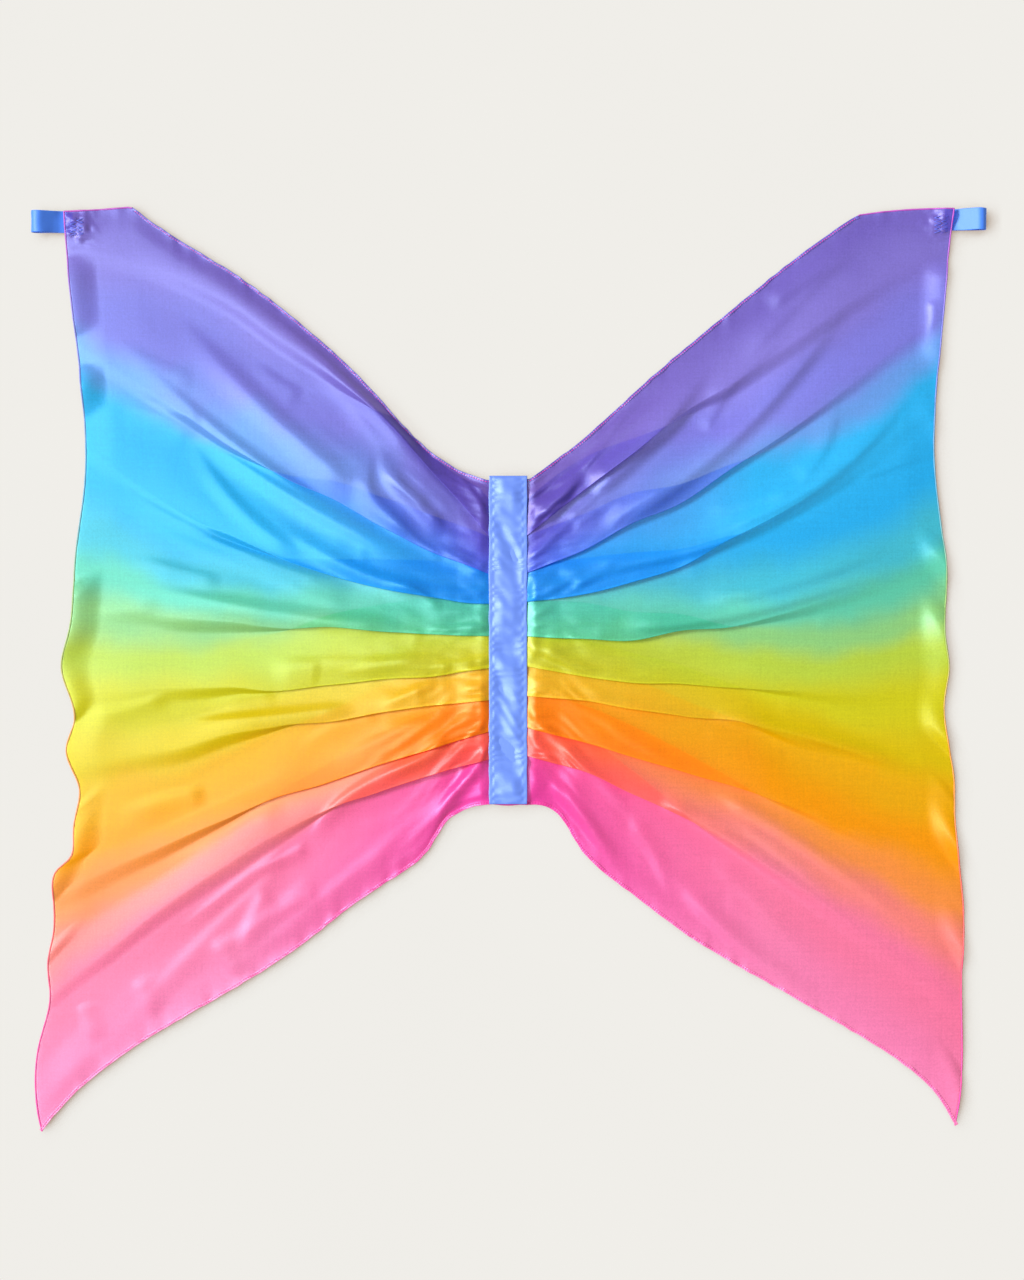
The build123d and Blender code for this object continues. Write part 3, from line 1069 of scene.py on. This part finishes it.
def silk_material():
    """Thin silk in its dyes, with painted shade in the gathers by the band: glossy, sheer, and one
    layer thick to light although it has two faces.
    """
    n = Nodes(bpy.data.materials.new("dyed_silk"))
    blotch = n.fit(n.noise(14, detail=3), -0.02, 0.02)
    place = n.add("ShaderNodeMath", {0: n.attribute("dye"), 1: blotch}, operation="ADD")
    colour = dye_and_band_shade(n, place.outputs[0])
    weft = n.fit(n.noise(60, (0.35, 1, 9), 3), 0.92, 1.08)
    warp = n.fit(n.noise(60, (9, 1, 0.35), 3), 0.93, 1.07)
    grain = n.fit(n.noise(620), 0.82, 1.18)
    colour = n.shade(n.shade(n.shade(colour, weft), warp), grain)
    once = n.add("ShaderNodeGamma", {"Color": colour, "Gamma": 0.5}).outputs["Color"]
    normal = n.bump(n.noise(420), 0.1 * MM)
    gloss = {
        "Base Color": colour, "Roughness": 0.37, "Specular IOR Level": 0.85,
        "Specular Tint": n.mix(0.75, WHITE, once),
        "Sheen Weight": 0.15, "Sheen Tint": once, "Sheen Roughness": 0.35, "Normal": normal,
    }
    surface = n.add("ShaderNodeBsdfPrincipled", gloss)
    through = n.add("ShaderNodeBsdfTranslucent", {"Color": colour})
    body = n.layered(TRANSLUCENT_SHARE, surface, through)
    sheer = n.add("ShaderNodeBsdfTransparent", {"Color": once})
    layer = n.layered(SHEER_SHARE, body, sheer)
    inside = n.add("ShaderNodeBsdfTransparent")
    return n.finish(n.layered(n.behind(), layer, inside))


def hem_material():
    """The silk where it is turned double: the same dye and painted band shade, deeper and not sheer.
    """
    n = Nodes(bpy.data.materials.new("hem_silk"))
    colour = n.shade(dye_and_band_shade(n, n.attribute("dye")), n.fit(n.noise(500), 0.78, 1.02))
    return n.finish(n.add("ShaderNodeBsdfPrincipled", {
        "Base Color": colour, "Roughness": 0.4, "Sheen Weight": 0.2}))


def edge_thread_material():
    """Overlock thread that took the dye along the rolled edges."""
    n = Nodes(bpy.data.materials.new("edge_thread"))
    colour = n.ramp(n.attribute("dye"), EDGE_DYE)
    colour = n.shade(colour, n.fit(n.noise(900), 0.8, 1.15))
    return n.finish(n.add("ShaderNodeBsdfPrincipled", {
        "Base Color": colour, "Roughness": 0.55, "Sheen Weight": 0.3}))


def woven_material(name, colour, roughness, stretch, contrast, gloss=0.5):
    """Fibre with a fine grain: stretch lays the grain across or along the piece."""
    n = Nodes(bpy.data.materials.new(name))
    grain = n.noise(400, stretch, 3)
    colour = n.shade(colour, n.fit(grain, 1 - contrast, 1 + contrast))
    return n.finish(n.add("ShaderNodeBsdfPrincipled", {
        "Base Color": colour, "Roughness": roughness, "Specular IOR Level": gloss,
        "Sheen Weight": 0.1, "Normal": n.bump(grain, 0.12 * MM, 0.6),
    }))


materials = {
    "silk": silk_material(),
    "hem": hem_material(),
    "edge_thread": edge_thread_material(),
    "hem_thread": woven_material("hem_thread", srgb(245, 50, 160), 0.5, (1, 1, 1), 0.15),
    "band": woven_material("band_satin", srgb(98, 134, 230), 0.42, (0.4, 1, 4), 0.05, 0.6),
    "band_thread": woven_material("band_thread", srgb(66, 92, 206), 0.8, (1, 1, 1), 0.15, 0.1),
    "loop": woven_material("loop_satin", srgb(72, 134, 246), 0.52, (0.4, 1, 4), 0.05, 0.35),
    "tack_thread": woven_material("tack_thread", srgb(88, 96, 214), 0.5, (1, 1, 1), 0.15),
    "elastic": woven_material("elastic", srgb(130, 150, 235), 0.7, (1, 1, 1), 0.12, 0.3),
}


# ---- Stage

PALE = srgb(240, 238, 233)


def make_stage():
    """A pale wall behind the wings, painted contact shadows where they lie, and soft light from the
    left.
    """
    wall = make_stage_plane("stage_wall", 12, rest_y + WALL_DISTANCE, wall_material())
    contact = make_stage_plane("stage_contact", 1.2, rest_y + CONTACT_GAP, painted_shadow_material())
    contact.visible_diffuse = False
    contact.visible_glossy = False
    contact.visible_transmission = False
    contact.visible_shadow = False
    key = add_light("key", "SUN", 4.2, (-2.6, -2.2, 0.6))
    key.data.angle = math.radians(20)
    sheen = add_light("sheen_box", "AREA", 125, (-1.25, -1.9, 0.1))
    sheen.data.size = 1.7
    sheen.data.color = (0.64, 0.86, 1.0)
    sheen.visible_diffuse = False
    make_world()


def make_stage_plane(name, size, y, material):
    bpy.ops.mesh.primitive_plane_add(size=size, location=(0, y, 0), rotation=(math.pi / 2, 0, 0))
    plane = bpy.context.object
    plane.name = name
    plane.data.materials.append(material)
    return plane


def add_light(name, kind, energy, place):
    """A light at a place, aimed at the middle of the band."""
    lamp = bpy.data.objects.new(name, bpy.data.lights.new(name, kind))
    lamp.data.energy = energy
    lamp.location = place
    lamp.rotation_euler = (-lamp.location).to_track_quat("-Z", "Y").to_euler()
    bpy.context.scene.collection.objects.link(lamp)
    return lamp


def make_world():
    """Even fill light, and a paler backdrop wherever the camera looks past the wall."""
    world = bpy.data.worlds.new("studio")
    bpy.context.scene.world = world
    n = Nodes(world, "ShaderNodeOutputWorld")
    fill = n.add("ShaderNodeBackground", {"Color": srgb(244, 243, 242), "Strength": 0.46})
    backdrop = n.add("ShaderNodeBackground", {"Color": PALE})
    seen = n.add("ShaderNodeLightPath").outputs["Is Camera Ray"]
    n.finish(n.layered(seen, fill, backdrop))


def wall_material():
    """An evenly lit pale wall that shows no cast shadows, seen from the front only."""
    n = Nodes(bpy.data.materials.new("stage_pale"))
    colour = n.shade(PALE, n.fit(n.noise(3), 0.99, 1.01))
    lit = n.add("ShaderNodeEmission", {"Color": colour})
    clear = n.add("ShaderNodeBsdfTransparent")
    return n.finish(n.layered(n.behind(), lit, clear))


def painted_shadow_material():
    """Clear, with a painted shadow close beside whatever lies on it, darker on the side away from
    the key.
    """
    n = Nodes(bpy.data.materials.new("stage_contact"))
    lean = n.add("ShaderNodeCombineXYZ", {"X": -1.5, "Y": -1.0, "Z": 0.4}).outputs["Vector"]
    near = n.add("ShaderNodeAmbientOcclusion", {"Distance": 0.02, "Normal": lean}, samples=6)
    # Painted shadow colour, from how closely the pieces crowd each point
    shadow = n.ramp(near.outputs["AO"], [(0.25, (150, 108, 66)), (0.95, (255, 255, 255))])
    colour = n.mix(n.behind(), shadow, WHITE)
    return n.finish(n.add("ShaderNodeBsdfTransparent", {"Color": colour}))


def make_camera():
    """Square on to the wings; the long side of the picture takes in picture_height at the wall."""
    picture_height = 1.28
    distance = 3.2
    data = bpy.data.cameras.new("camera")
    data.lens = data.sensor_width * distance / picture_height
    camera = bpy.data.objects.new("camera", data)
    camera.location = (4 * MM, -distance, 0)
    camera.rotation_euler = (math.pi / 2, 0, 0)
    bpy.context.scene.collection.objects.link(camera)
    bpy.context.scene.camera = camera


sheets = {}
for name in SIDES:
    outline = WingOutline(name)
    points, attributes = sheet_points(outline)
    sheets[name] = (points, attributes)
    make_wing_silk(outline, points, attributes)
    make_hems(outline, points, attributes)
    make_finger_loop(outline)
    make_corner_tack(outline, points)
    make_shoulder_loop(name)
    make_shoulder_tack(name)
    make_band_stitches(name)
make_pleat_stack(sheets)
make_band_ribbon("spine_front_ribbon", "spine_band_front", FORWARD, 61)
make_band_ribbon("spine_back_ribbon", "spine_band_back", -FORWARD, 71)

make_stage()
make_camera()
bpy.context.scene.view_settings.view_transform = "Standard"
bpy.context.scene.cycles.transparent_max_bounces = 24
